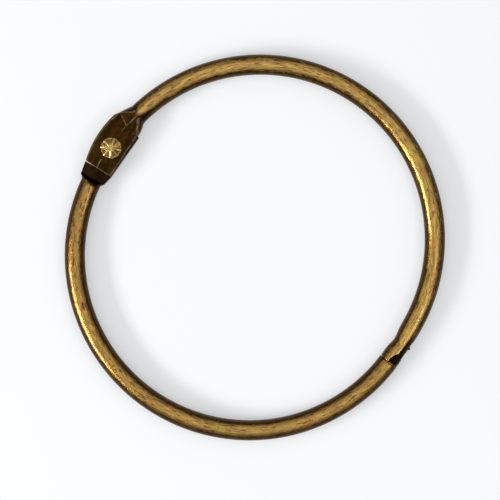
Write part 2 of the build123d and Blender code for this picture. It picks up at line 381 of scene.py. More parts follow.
NECK_DEPTH, NECK_Y, NECK_SPREAD = 0.3, 0.2, 1.3
TIP_LEAN, LEAN_LENGTH = 0.11, 0.8
CATCH_SIDE = 20
straight_rows = [
    stand(tube_loop(tube_r), np.array([arc_r, y]), OUT)
    for y in np.linspace(arc_offset, tip_y + RIM_ROUND, 22)[1:-1]
]


def neck_in(rows):
    """Draws the inner side in above the joint, and leans the cut end to follow the other half."""
    for row in rows:
        level = np.where(row[:, 1] > arc_offset, np.hypot(row[:, 0], row[:, 1] - arc_offset), row[:, 0])
        offset = level - arc_r
        at_catch = row[:, 0] > CATCH_SIDE
        outer_skin = np.hypot(offset, row[:, 2] - tube_r) > (tube_r + bore_r) / 2
        inner_side = share(-offset, 0.2, tube_r) * outer_skin * at_catch
        row[:, 0] += NECK_DEPTH * inner_side * np.exp(-(((row[:, 1] - NECK_Y) / NECK_SPREAD) ** 2))
        near_tip = 1 - share(row[:, 1], tip_y, tip_y + LEAN_LENGTH)
        row[:, 1] -= TIP_LEAN * share(-offset, -tube_r, tube_r) * near_tip * at_catch


upper_rows = fork_rows + tube_rows(arc_offset, upper_tube_angle, 0) + straight_rows
upper_rows += rim_rows(np.array([arc_r, tip_y]), OUT, -UP)
upper_rows.append(stand(tube_loop(bore_r), np.array([arc_r, tip_y + 1]), OUT))
upper_rows += bore_rows(arc_offset, 0, upper_tube_angle - 4)
arch_tip(upper_rows, tip_y)
neck_in(upper_rows)
upper_half = skin("upper_half_skin", upper_rows)

gap = prism("gap", np.array([
    (hinge_x - FAR, EAR_END - FAR), (hinge_x + FAR, EAR_END - FAR),
    (hinge_x + FAR, FORK_WALL_Y), (hinge_x - FAR, FORK_WALL_Y),
]), tube_r - GAP_HALF_HEIGHT, tube_r + GAP_HALF_HEIGHT)
rivet_hole = prism("rivet_hole", circle_outline(RIVET_R + 0.01), -1, 2 * tube_r + 1)

turn = np.linspace(0, math.pi, 17)
slot_outline = np.column_stack([SLOT_END_Y - SLOT_HALF + SLOT_HALF * np.sin(turn),
                                tube_r + SLOT_HALF * np.cos(turn)])
slot_outline = np.concatenate([slot_outline, [(tip_y - 1, tube_r - SLOT_HALF),
                                              (tip_y - 1, tube_r + SLOT_HALF)]])
slot = skin("slot", [np.column_stack([np.full(len(slot_outline), x), slot_outline])
                     for x in (arc_r, outside_x + 1)])

chord = np.array([MOUTH_DEPTH, MOUTH_LENGTH])
chord_length = np.linalg.norm(chord)
bow_r = (chord_length**2 / 4 + MOUTH_BOW**2) / (2 * MOUTH_BOW)
half_turn = math.asin(chord_length / 2 / bow_r)
bow_turn = np.linspace(-half_turn, half_turn, 25)
chord_out = np.array([-chord[1], chord[0]]) / chord_length
mouth_tip = np.array([outside_x - MOUTH_DEPTH, tip_y])
mouth_middle = mouth_tip + chord / 2 + chord_out * (MOUTH_BOW - bow_r)
mouth_edge = [mouth_middle + bow_r * (math.cos(t) * chord_out + math.sin(t) * chord / chord_length)
              for t in bow_turn]
mouth_outline = np.array(mouth_edge + [(outside_x + 2, mouth_edge[-1][1]),
                                       (outside_x + 2, tip_y - 2), (mouth_tip[0], tip_y - 2)])
mouth = prism("mouth", mouth_outline, -1, 2 * tube_r + 1)
cut(upper_half, [gap, rivet_hole, slot, mouth])
print("upper half:", len(upper_half.data.polygons), "faces")

# %% [markdown]
# ## The lower half ring
# Its hinge end is pressed flatter still, into a blade that fills the fork's gap. Below the ears it
# shows as a short tapered collar, and then steps steeply up to the round tube. The blade's hidden
# outer corner is round about the rivet, which is what lets it swing. The same loops serve again.

# %% Loops of the blade, collar and step
BLADE_OUT, BLADE_IN, BLADE_DOWN_IN = 2.16, 2.55, 2.33
BLADE_UP = lower_high.y - hinge_y
BLADE_HALF_HEIGHT, BLADE_ROUND = 0.8, 0.2
COLLAR_LENGTH, COLLAR_HALF_WIDTH = 1.75, 1.9
STEP_LENGTH = 0.5
JOINT_DROP = 1.8
lower_y = -arc_offset
collar_foot_y = EAR_END - COLLAR_LENGTH
lower_tube_angle = angle_beside_hinge(lower_y, collar_foot_y - STEP_LENGTH)
joint_angle = 360 - math.degrees(math.asin(JOINT_DROP / arc_r))


def blade_row(up):
    """One loop of the blade, at a height above the rivet."""
    left = min(BLADE_OUT, math.sqrt(max(BLADE_UP**2 - up**2, 0)))
    right = BLADE_DOWN_IN + (BLADE_IN - BLADE_DOWN_IN) * share(up, EAR_END - hinge_y, BLADE_UP)
    drawn_in = edge_inset(BLADE_UP - up, BLADE_ROUND)
    loop = plate_loop((left + right) / 2 - drawn_in, BLADE_HALF_HEIGHT - drawn_in, BLADE_ROUND)
    return stand(loop, np.array([hinge_x + (right - left) / 2, hinge_y + up]), -OUT)


corner_turn = math.asin(BLADE_OUT / BLADE_UP)
corner_heights = BLADE_UP * np.cos(np.linspace(0, corner_turn, 16))
side_heights = np.linspace(corner_heights[-1], EAR_END - hinge_y, 60)[1:]
blade_rows = [blade_row(up) for up in np.concatenate([corner_heights, side_heights])]

collar_start = np.array([hinge_x + (BLADE_DOWN_IN - BLADE_OUT) / 2, EAR_END])
collar_start_half = (BLADE_DOWN_IN + BLADE_OUT) / 2
collar_foot, collar_out = on_arc(lower_y, angle_beside_hinge(lower_y, collar_foot_y))
tube_start, tube_out = on_arc(lower_y, lower_tube_angle)
collar_rows = []
for part in np.linspace(0, 1, 20)[1:]:
    direction = -OUT * (1 - part) + collar_out * part
    half_width = collar_start_half + (COLLAR_HALF_WIDTH - collar_start_half) * part
    middle = collar_start + (collar_foot - collar_start) * part
    loop = plate_loop(half_width, BLADE_HALF_HEIGHT, BLADE_ROUND)
    collar_rows.append(stand(loop, middle, direction / np.linalg.norm(direction)))
step_rows = []
plate = plate_loop(COLLAR_HALF_WIDTH, BLADE_HALF_HEIGHT, BLADE_ROUND)
for part in np.linspace(0, 1, 8)[1:-1]:
    loop = plate + (crowded_tube - plate) * part
    step_rows.append(stand(loop, collar_foot + (tube_start - collar_foot) * part, collar_out))
print(len(blade_rows) + len(collar_rows) + len(step_rows), "loops from the blade to the tube")

# %% [markdown]
# The tongue is the tube's outer wall running on past the joint: a wide root, pressed in a little,
# then a narrow strip that carries the tooth and ends in a ramp. The root is a short piece of tube
# wall, bent like the tube; the strip is a plain outline made solid. Behind them a solid heel, a
# plug and a thin cap fill the joint and the mouth, where the real ring shows only shade; they are
# dark fillers, painted near black as shade. All are joined to the skin.

# %% The tongue
TONGUE_HALF_HEIGHT, TONGUE_LENGTH, TONGUE_INSET = 0.95, 1.55, 0.04
STRIP_INSET, STRIP_HALF_HEIGHT = 0.17, 0.45
TOOTH_LENGTH, RAMP_LENGTH = 0.22, 0.97
TIP_INSET, TIP_THICKNESS = 0.65, 0.25


def wall_loop(outer, inner, half_height, count=14):
    """The section of a strip of tube wall."""
    outer_turn = math.asin(half_height / outer)
    inner_turn = math.asin(half_height / inner)
    face = np.linspace(-outer_turn, outer_turn, count)
    back = np.linspace(inner_turn, -inner_turn, count)
    return np.concatenate([
        np.column_stack([outer * np.cos(face), outer * np.sin(face)]),
        np.column_stack([inner * np.cos(back), inner * np.sin(back)]),
    ])


root_loop = wall_loop(tube_r - TONGUE_INSET, bore_r - TONGUE_INSET, TONGUE_HALF_HEIGHT)
ROOT_BURIED = 0.67
root_start = joint_angle - 360 - ROOT_BURIED
root_end = root_start + math.degrees(TONGUE_LENGTH / arc_r)
root = skin("root", [stand(root_loop, *on_arc(lower_y, a))
                     for a in np.linspace(root_start, root_end, 12)])
strip_out = outside_x - STRIP_INSET
strip_foot_y = lower_y - JOINT_DROP + TONGUE_LENGTH / 2
strip_outline = np.array([
    (strip_out - WALL, strip_foot_y),
    (strip_out, strip_foot_y),
    (strip_out, TOOTH_Y - TOOTH_LENGTH),
    (lower_high.x, TOOTH_Y),
    (outside_x - TIP_INSET, TOOTH_Y + RAMP_LENGTH),
    (outside_x - TIP_INSET - TIP_THICKNESS, TOOTH_Y + RAMP_LENGTH),
    (strip_out - WALL, TOOTH_Y),
])
strip = prism("strip", strip_outline, tube_r - STRIP_HALF_HEIGHT, tube_r + STRIP_HALF_HEIGHT)

PLUG_R, PLUG_LENGTH = 1.02, 0.75
CAP_R, CAP_LENGTH = 1.40, 0.36
HEEL_CLEARANCE, HEEL_HALF_HEIGHT, HEEL_INSET = 0.06, 0.5, 0.04


def round_slug(name, radius, length):
    """A short solid round in the tube, from the root's buried end."""
    ends = root_start + math.degrees(length / arc_r) * np.array([0, 0.5, 1])
    return skin(name, [stand(tube_loop(radius), *on_arc(lower_y, a)) for a in ends])


# Painted shade: the plug, cap and heel are dark fillers standing for shade in the joint and mouth.
shade_plug = round_slug("shade_plug", PLUG_R, PLUG_LENGTH)
shade_cap = round_slug("shade_cap", CAP_R, CAP_LENGTH)
heel_out = strip_out - HEEL_INSET
heel_foot_y = lower_y - JOINT_DROP + 0.1
heel_edge = [point - chord_out * HEEL_CLEARANCE for point in mouth_edge[2:-5]]
heel_edge = [point for point in heel_edge if point[0] < heel_out - 0.01]
heel_outline = np.array(heel_edge + [
    (heel_out, heel_edge[-1][1]),
    (heel_out, heel_foot_y),
    (heel_edge[0][0], heel_foot_y),
])
shade_heel = prism("shade_heel", heel_outline, tube_r - HEEL_HALF_HEIGHT, tube_r + HEEL_HALF_HEIGHT)

# %% Lower skin, with its tongue and rivet hole
joint_middle, joint_out = on_arc(lower_y, joint_angle)
joint_along = np.array([-joint_out[1], joint_out[0]])
rim_turn = math.degrees(RIM_ROUND / arc_r)
lower_rows = blade_rows + collar_rows + step_rows
lower_rows += tube_rows(lower_y, lower_tube_angle, joint_angle - rim_turn)[:-1]
lower_rows += rim_rows(joint_middle, joint_out, joint_along)
lower_rows += bore_rows(lower_y, joint_angle - 2 * rim_turn, lower_tube_angle + 4)
arch_tip(lower_rows, joint_middle[1])
lower_half = skin("lower_half_skin", lower_rows)
cut(lower_half, [root, shade_cap, shade_plug, shade_heel, strip], "UNION")
cut(lower_half, [prism("blade_hole", circle_outline(RIVET_R + 0.05), -1, 2 * tube_r + 1)])
print("lower half:", len(lower_half.data.polygons), "faces")

# %% [markdown]
# ## The rivet
# The rivet's upper head was set with a fluted punch, which spread it into a rosette: about ten
# petals, no two alike, round a small dimple. A cylinder with cuts would look machined. So the head
# is one sheet of rings and spokes, and its height and rim sink wherever a spoke meets a groove.

# %% The rosette, shank and foot
PETALS = 10
SPOKES = 264
HEAD_R = (rivet_high.x - rivet_low.x) / 2
HEAD_BASE = tube_r + FORK_HALF_HEIGHT
HEAD_TOP = rivet_high.z
HEAD_RIM_Z = HEAD_BASE + 0.12
DOME_POWER = 1.9
DIMPLE_R, DIMPLE_DEPTH = 0.24, 0.07
FOOT_R, FOOT_HEIGHT = 1.4, 0.2
rng = np.random.default_rng(7)
spoke = np.linspace(0, 2 * math.pi, SPOKES, endpoint=False)
groove_turn = np.cumsum(rng.uniform(0.55, 1.45, PETALS))
groove_turn = groove_turn / groove_turn[-1] * 2 * math.pi
groove_depth = rng.uniform(0.45, 1.0, PETALS)
groove_width = rng.uniform(0.10, 0.21, PETALS)
groove = np.zeros(SPOKES)
for turn, depth, width in zip(groove_turn, groove_depth, groove_width):
    away = np.abs((spoke - turn + math.pi) % (2 * math.pi) - math.pi)
    groove = np.maximum(groove, depth * np.exp(-((away / width) ** 2)))
petal_tilt = 0.5 + 0.5 * np.sin(3 * spoke + 0.8) * np.sin(5 * spoke + 2.1)


def rosette_ring(radius_share):
    """A ring of the head: grooves deepen and widen towards the rim, petals tip a little."""
    radius = HEAD_R * radius_share * (1 - 0.09 * groove * radius_share**3)
    fall = (HEAD_TOP - HEAD_RIM_Z) * radius_share**DOME_POWER
    sunk = 0.18 * groove * share(radius_share, 0.12, 0.7)
    tipped = 0.09 * petal_tilt * share(radius_share, 0.3, 1)
    dimple = DIMPLE_DEPTH * math.exp(-((radius_share * HEAD_R / DIMPLE_R) ** 2))
    height = HEAD_TOP - fall - sunk - tipped - dimple
    height = np.maximum(height, HEAD_BASE + 0.05)
    return np.column_stack([hinge_x + radius * np.cos(spoke), hinge_y + radius * np.sin(spoke), height])


def plain_ring(radius, z):
    """A round of the shank or the foot."""
    return np.column_stack([hinge_x + radius * np.cos(spoke), hinge_y + radius * np.sin(spoke),
                            np.full(SPOKES, z)])


rivet_rows = [rosette_ring(s) for s in np.linspace(0.02, 1, 34)]
rim = rivet_rows[-1].copy()
rim[:, 2] = HEAD_BASE
rivet_rows += [(rivet_rows[-1] * 0.35 + rim * 0.65), rim]
rivet_rows += [plain_ring(RIVET_R, HEAD_BASE), plain_ring(RIVET_R, FOOT_HEIGHT)]
rivet_rows += [plain_ring(FOOT_R, FOOT_HEIGHT), plain_ring(FOOT_R, 0.05)]
rivet_rows += [plain_ring(FOOT_R - 0.05, 0), plain_ring(0.4, 0)]
rivet = skin("fluted_rivet", rivet_rows)
print("rivet:", PETALS, "petals,", len(rivet.data.polygons), "faces")

# %% [markdown]
# ## Where the finish changes
# Four things decide how the metal looks at a point: where it lies along and round the tube, since
# tumbling scratched it lengthwise; whether it stays dark, as patina in some places and as painted
# shade in others; how far painted shade takes it towards black; and whether it is on an edge that
# was rubbed bare, in places brightened further as a painted highlight. Each is stored on the
# points, so that the material can read it.

# %% Lay the tube out flat
def points_mm(piece):
    places = np.empty(len(piece.data.vertices) * 3, np.float32)
    piece.data.vertices.foreach_get("co", places)
    return places.reshape(-1, 3).astype(float) / MM


def store(piece, name, values):
    """Keeps one number, or one vector, for each point of the mesh."""
    kind, key = ("FLOAT_VECTOR", "vector") if values.ndim == 2 else ("FLOAT", "value")
    attribute = piece.data.attributes.new(name, kind, "POINT")
    attribute.data.foreach_set(key, values.astype(np.float32).ravel())


def laid_out(places, centre_y):
    """Millimetres along the arc, across it and up."""
    x, y = places[:, 0], places[:, 1] - centre_y
    turn = np.arctan2(y, x)
    past_back = (np.abs(turn) > 2.0) & (turn * centre_y < 0)
    turn = np.where(past_back, turn + 2 * math.pi * np.sign(centre_y), turn)
    return np.column_stack([turn * arc_r, np.hypot(x, y) - arc_r, places[:, 2] - tube_r])


def near_line(places, line, width):
    """1 on a line of points seen from above, falling to 0 beside it."""
    closest = np.full(len(places), 1e9)
    for start, end in zip(line[:-1], line[1:]):
        start, end = np.array(start), np.array(end)
        run = end - start
        part = np.clip((places[:, :2] - start) @ run / (run @ run), 0, 1)
        gone = places[:, :2] - start - part[:, None] * run
        closest = np.minimum(closest, np.hypot(gone[:, 0], gone[:, 1]))
    return np.exp(-((closest / width) ** 2))


# %% [markdown]
# On the upper half the fork kept its dark patina, and brass begins in an arch where the shoulder
# meets the tube. The bore, the slot's walls, the mouth's cut wall and the tube's outer side beside
# the catch are darkened as painted shade. Its creases, its long edges and the ears' cut end are
# rubbed bare, and the cut end and the outer long edge are brightened further as a painted highlight.

# %% Patina, painted shade, bare edges and painted highlights of the upper half
HAIRLINE = 0.045
RIDGE_LINE = [(-25.0, 7.4), (-25.35, 5.9), (-25.58, 5.0), (-25.75, 4.3), (-25.87, 3.5)]
FOOT_LINE = [(-26.1, -1.65), (-25.87, -3.1)]
OUTER_COLUMN, INNER_COLUMN = SIDE + CORNER, 2 * QUARTER - SIDE - CORNER
crease_heights = np.linspace(4.2, 7.0, 15)
OUTER_CREASE = [fork_row(y)[OUTER_COLUMN, :2] for y in crease_heights]
INNER_ARCH = [fork_row(y)[INNER_COLUMN, :2] for y in crease_heights[:-2]]

HINGE_SIDE = -20
RIDGE_X = -25.2
BRASS_START, BRASS_DIP, BRASS_FLANK = 6.6, 0.35, 1.3
BRASS_FADE = (-0.8, 1.9)
TOOTH_SHADE_TOP, TOOTH_SHADE_FADE = 1.9, 0.7
SHADE_OFFSET, SHADE_SLOPE = 0.87, 0.1
CUT_WALL_SHADE, BORE_SHADE = 0.6, 0.9

places = points_mm(upper_half)
across, up_ring = places[:, 0], places[:, 1]
from_middle = np.abs(places[:, 2] - tube_r)
beside_hinge = across < HINGE_SIDE
beside_catch = across > CATCH_SIDE
store(upper_half, "laid_out", laid_out(places, arc_offset))

from_ridge = np.abs(across - RIDGE_X)
brass_start = BRASS_START - BRASS_DIP * np.exp(-((from_ridge / 0.5) ** 2))
brass_start += BRASS_FLANK * share(from_ridge, 0.25, 1.2)
brass_low, brass_full = (brass_start + fade for fade in BRASS_FADE)
patina_and_shade = (1 - share(up_ring, brass_low, brass_full)) * beside_hinge

# Partly patina and partly painted shade: the outer side beside the catch faces away from the lamp.
catch_offset = across - arc_r
boundary = SHADE_OFFSET - SHADE_SLOPE * (2.2 - up_ring)
below_shade_top = share(-up_ring, -TOOTH_SHADE_TOP, TOOTH_SHADE_FADE - TOOTH_SHADE_TOP)
shade = share(catch_offset, boundary - 0.12, boundary + 0.12) * below_shade_top * beside_catch
patina_and_shade = np.maximum(patina_and_shade, shade)

# Painted shade: the bore and the mouth's cut wall are darkened towards black.
offset = np.hypot(across, up_ring - arc_offset) - arc_r
inside = np.hypot(offset, from_middle) < (tube_r + bore_r) / 2
inside &= ~beside_hinge & (up_ring > arc_offset)
straight_part = beside_catch & (up_ring < arc_offset + 0.4)
inside |= (np.hypot(catch_offset, from_middle) < bore_r + 0.02) & straight_part
from_mouth = np.abs(np.hypot(across - mouth_middle[0], up_ring - mouth_middle[1]) - bow_r)
cut_wall = (from_mouth < 0.06) & beside_catch & (up_ring < mouth_edge[-1][1])
patina_and_shade = np.maximum(patina_and_shade, np.maximum(inside, cut_wall))
store(upper_half, "patina_and_shade", patina_and_shade)
store(upper_half, "painted_shade", CUT_WALL_SHADE * cut_wall + BORE_SHADE * inside)

# Rubbed edges, partly painted highlight: the ears' cut end and outer edge face the lamp.
wear_and_highlight = near_line(places, RIDGE_LINE, HAIRLINE) * share(up_ring, 3.0, 4.6) * 0.6
for line, strength in ((DIAGONAL, 0.5), (FOOT_LINE, 0.6), (OUTER_CREASE, 0.6), (INNER_ARCH, 0.28)):
    wear_and_highlight = np.maximum(wear_and_highlight, near_line(places, line, HAIRLINE) * strength)
wear_and_highlight *= share(from_middle, 0.9, 1.1)
# Painted highlight: a bright line along the ears' cut end.
cut_end = 0.36 * np.exp(-(((up_ring - EAR_END - 0.05) / 0.06) ** 2))
reach = np.polyval(ear_reach, np.minimum(up_ring, SHOULDER_Y) - hinge_y)
outer_edge = hinge_x - reach + EAR_ROUND * 0.6
inner_edge = hinge_x + EAR_IN - EAR_ROUND * 0.5
long_edges = np.maximum(
    np.exp(-(((across - outer_edge) / 0.08) ** 2)),
    np.exp(-(((across - inner_edge) / 0.06) ** 2)),
)
long_edges *= (1 - share(up_ring, 4.2, 5.2)) * share(from_middle, 1.0, 1.15)
wear_and_highlight = np.maximum(wear_and_highlight, np.maximum(cut_end, 0.45 * long_edges) * (up_ring < 5.4)) * beside_hinge
tip_rim = 0.12 * np.exp(-(((up_ring - tip_y - 0.02) / 0.12) ** 2)) * beside_catch
wear_and_highlight = np.maximum(wear_and_highlight, tip_rim * (1 - share(catch_offset, 0.0, 0.4)))
store(upper_half, "wear_and_highlight", wear_and_highlight)
print(f"upper half: {patina_and_shade.mean():.2f} of its points dark, {wear_and_highlight.mean():.3f} bare")

# %% [markdown]
# On the lower half the blade and collar are the darkest metal of all, partly patina and partly
# painted shade, and the steep step below them is painted black as shade. Brass starts in a ragged
# line at the foot of the step. The tongue lies in the upper tip's shade and is painted near black,
# and the bore is darkened as painted shade. The rest of this half kept more of the brown than the
# upper half did, most of all near the hinge.

# %% Patina and painted shade of the lower half
TARNISH, TARNISH_EASED = 0.39, 0.04
TONGUE_SHADE = 0.75
places = points_mm(lower_half)
across, up_ring = places[:, 0], places[:, 1]
beside_hinge = across < HINGE_SIDE
step_foot_y = collar_foot_y - STEP_LENGTH
store(lower_half, "laid_out", laid_out(places, lower_y))

# Partly patina and partly painted shade on the blade, collar and step.
patina_and_shade = share(up_ring, step_foot_y - 0.25, step_foot_y + 0.1) * beside_hinge
collar_starts = share(up_ring, collar_foot_y + 0.02, collar_foot_y + 0.14)
# Painted shade: black on the step, half as much on the collar and blade.
painted_shade = share(up_ring, step_foot_y - 0.12, step_foot_y) * (1 - 0.5 * collar_starts) * beside_hinge
# Painted shade: the tongue, heel, plug and cap past the joint go near black.
past_joint = share(up_ring, joint_middle[1] - 0.02, joint_middle[1] + 0.12) * (across > CATCH_SIDE)
patina_and_shade = np.maximum(patina_and_shade, past_joint)
painted_shade = np.maximum(painted_shade, past_joint * TONGUE_SHADE)
# Painted shade: the bore's inside is darkened.
offset = np.hypot(across, up_ring - lower_y) - arc_r
inside = np.hypot(offset, places[:, 2] - tube_r) < (tube_r + bore_r) / 2
patina_and_shade = np.maximum(patina_and_shade, inside & (up_ring < collar_foot_y - 2))
tarnish = TARNISH - TARNISH_EASED * share(across, -22, 8)
store(lower_half, "patina_and_shade", np.maximum(patina_and_shade, tarnish))
store(lower_half, "painted_shade", painted_shade)
store(lower_half, "wear_and_highlight", np.zeros(len(places)))
print(f"lower half: {patina_and_shade.mean():.2f} of its points dark")

# %% [markdown]
# Shading should be smooth round the tube but break at every cut edge, so edges that turn by more
# than a set angle are marked sharp.

# %% Smooth shading
for piece, crease in ((upper_half, 32), (lower_half, 32), (rivet, 40)):
    piece.data.shade_smooth()
    piece.data.set_sharp_from_angle(angle=math.radians(crease))
print("sharp edges marked")

# %% [markdown]
# ## Tools for building a finish
# A material is a chain of small steps. These helpers add a step and join its inputs in one line.

# %% Node helpers
def new_material(name):
    material = bpy.data.materials.new(name)
    material.use_nodes = True
    material.node_tree.nodes.clear()
    return material, material.node_tree


def step(tree, kind, inputs=(), **settings):
    """Adds a node; inputs are numbers or other nodes' outputs, by socket name or number."""
    node = tree.nodes.new(kind)
    for key, value in settings.items():
        setattr(node, key, value)
    for socket, value in dict(inputs).items():
        if isinstance(value, bpy.types.NodeSocket):
            tree.links.new(value, node.inputs[socket])
        else:
            node.inputs[socket].default_value = value
    return node


def calc(tree, operation, a, b=0.0, clamp=False):
    return step(tree, "ShaderNodeMath", {0: a, 1: b}, operation=operation, use_clamp=clamp).outputs[0]


def blend_colour(tree, factor, a, b):
    node = step(tree, "ShaderNodeMix", data_type="RGBA")
    for socket, value in ((0, factor), (6, a), (7, b)):
        if isinstance(value, bpy.types.NodeSocket):
            tree.links.new(value, node.inputs[socket])
        elif socket == 0:
            node.inputs[0].default_value = value
        else:
            node.inputs[socket].default_value = (*value, 1)
    return node.outputs[2]


def ramp(tree, value, low, high):
    """0 below low, 1 above high, and smooth between."""
    inputs = {"Value": value, "From Min": low, "From Max": high}
    return step(tree, "ShaderNodeMapRange", inputs, interpolation_type="SMOOTHSTEP").outputs[0]


def noise(tree, where, scale, detail=4.0, roughness=0.55):
    inputs = {"Vector": where, "Scale": scale, "Detail": detail, "Roughness": roughness}
    return step(tree, "ShaderNodeTexNoise", inputs).outputs[0]


def swing(tree, value, size):
    """A pattern from 0 to 1, centred on 0 and scaled."""
    return calc(tree, "MULTIPLY", calc(tree, "SUBTRACT", value, 0.5), size)


def stretched(tree, where, along, across, up):
    """The laid-out place, scaled so that a pattern stretches along the tube."""
    return step(tree, "ShaderNodeMapping", {"Vector": where, "Scale": (along, across, up)}).outputs[0]


# %% [markdown]
# ## Antique brass
# The real finish is brass, darkened chemically all over and then tumbled. Crests came up bright
# with fine lengthwise scratches; flanks and hollows kept a brown-black skin, and the border between
# them wanders. The border follows how far the surface turns from level, which is the one thing that
# tumbling of a flat ring depends on, with noise to make it wander. The dark flanks are partly that
# skin and partly painted shade, for the dim surroundings that steep sides reflect. Between brass
# and skin runs a thin orange-brown border, where the brass is only half uncovered. Places marked
# with painted shade go towards black, and bare edges are partly worn and partly painted highlight.
# A clear coat lies on the brass alone: it gives the whitish glint, and the dark skin needs none.

# %% The half rings' finish
GOLDEN_DULL = (0.27, 0.145, 0.022)
GOLDEN_LIGHT = (0.54, 0.33, 0.050)
GOLDEN_ORANGE = (0.40, 0.175, 0.030)
GOLDEN_PALE = (0.66, 0.46, 0.12)
FLECK_BROWN = (0.12, 0.055, 0.012)
BORDER_BROWN = (0.17, 0.075, 0.014)
FLANK_DARK, FLANK_LIGHT = (0.040, 0.018, 0.003), (0.095, 0.046, 0.009)
SKIN_DARK, SKIN_RED, SKIN_OLIVE = (0.018, 0.009, 0.002), (0.046, 0.018, 0.003), (0.075, 0.042, 0.006)
PAINTED_SHADE_BLACK = (0.005, 0.004, 0.003)
BARE_EDGE_AND_HIGHLIGHT = (0.52, 0.42, 0.27)


def antique_brass():
    material, tree = new_material("tumbled_antique_brass")
    lie = step(tree, "ShaderNodeAttribute", attribute_name="laid_out").outputs["Vector"]
    patina_and_shade = step(tree, "ShaderNodeAttribute", attribute_name="patina_and_shade").outputs["Fac"]
    painted_shade = step(tree, "ShaderNodeAttribute", attribute_name="painted_shade").outputs["Fac"]
    wear_and_highlight = step(tree, "ShaderNodeAttribute", attribute_name="wear_and_highlight").outputs["Fac"]
    normal = step(tree, "ShaderNodeTexCoord").outputs["Normal"]
    up = step(tree, "ShaderNodeSeparateXYZ", {0: normal}).outputs["Z"]
    level = calc(tree, "ABSOLUTE", up)

    scratches = noise(tree, stretched(tree, lie, 0.30, 3.2, 3.2), 1.0, 6.0, 0.7)
    fine = noise(tree, stretched(tree, lie, 1.4, 5.0, 5.0), 1.0, 4.0, 0.65)
    wander = noise(tree, stretched(tree, lie, 0.55, 1.2, 1.2), 1.0, 4.0, 0.6)
    cloud = noise(tree, stretched(tree, lie, 0.45, 0.8, 0.8), 1.0, 4.0, 0.6)
    fleck = noise(tree, stretched(tree, lie, 0.8, 4.2, 4.2), 1.0, 3.0, 0.6)

    edge = calc(tree, "ADD", level, swing(tree, wander, 0.22))
    edge = calc(tree, "ADD", edge, swing(tree, fine, 0.42))
    edge = calc(tree, "ADD", edge, swing(tree, scratches, 0.25))
    # Partly patina and partly painted shade: steep flanks turn dark, the level crest stays bright.
    crest = ramp(tree, edge, 0.70, 0.90)
    stain_and_shade = calc(tree, "ADD", patina_and_shade, swing(tree, fine, 0.6))
    stain_and_shade = calc(tree, "ADD", stain_and_shade, swing(tree, scratches, 0.9))
    stain_and_shade = ramp(tree, stain_and_shade, 0.28, 0.66)
    crest = calc(tree, "MULTIPLY", crest, calc(tree, "SUBTRACT", 1.0, stain_and_shade))
    edge_wear_and_highlight = calc(tree, "MULTIPLY", wear_and_highlight, ramp(tree, fine, 0.30, 0.60))

    golden = blend_colour(tree, ramp(tree, scratches, 0.40, 0.60), GOLDEN_DULL, GOLDEN_LIGHT)
    golden = blend_colour(tree, ramp(tree, cloud, 0.50, 0.68), golden, GOLDEN_ORANGE)
    golden = blend_colour(tree, ramp(tree, fine, 0.56, 0.72), golden, GOLDEN_PALE)
    golden = blend_colour(tree, ramp(tree, fleck, 0.54, 0.64), golden, FLECK_BROWN)
    flank = blend_colour(tree, ramp(tree, fine, 0.38, 0.62), FLANK_DARK, FLANK_LIGHT)
    skin_brown = blend_colour(tree, ramp(tree, cloud, 0.40, 0.60), SKIN_DARK, SKIN_RED)
    skin_brown = blend_colour(tree, ramp(tree, fine, 0.52, 0.75), skin_brown, SKIN_OLIVE)
    brown = blend_colour(tree, stain_and_shade, flank, skin_brown)
    # Painted shade: bore, cut walls, step and tongue go towards black.
    brown = blend_colour(tree, painted_shade, brown, PAINTED_SHADE_BLACK)
    thinning = blend_colour(tree, ramp(tree, crest, 0.15, 0.5), brown, BORDER_BROWN)
    colour = blend_colour(tree, ramp(tree, crest, 0.35, 0.9), thinning, golden)
    # Rubbed bare edges, partly painted highlight, turn pale.
    colour = blend_colour(tree, edge_wear_and_highlight, colour, BARE_EDGE_AND_HIGHLIGHT)

    rough = calc(tree, "SUBTRACT", 0.40, calc(tree, "MULTIPLY", crest, 0.16))
    rough = calc(tree, "ADD", rough, swing(tree, scratches, 0.25))
    bump_height = calc(tree, "ADD", scratches, calc(tree, "MULTIPLY", fine, 0.5))
    bump = step(tree, "ShaderNodeBump", {"Strength": 0.8, "Distance": 0.00005, "Height": bump_height})
    shader = step(tree, "ShaderNodeBsdfPrincipled", {
        "Base Color": colour, "Roughness": rough, "Normal": bump.outputs[0], "Metallic": 1.0,
        "Coat Weight": calc(tree, "MULTIPLY", crest, 0.8), "Coat Roughness": 0.15,
    })
    step(tree, "ShaderNodeOutputMaterial", {"Surface": shader.outputs[0]})
    return material


ring_finish = antique_brass()
print("finish:", ring_finish.name)

# %% [markdown]
# ## Bright brass
# The rivet was set after the strips were darkened, so it is cleaner and yellower. Its grooves are
# coloured browner the deeper they sink. Height tells grooves from petals, so the colour needs only
# that and noise.

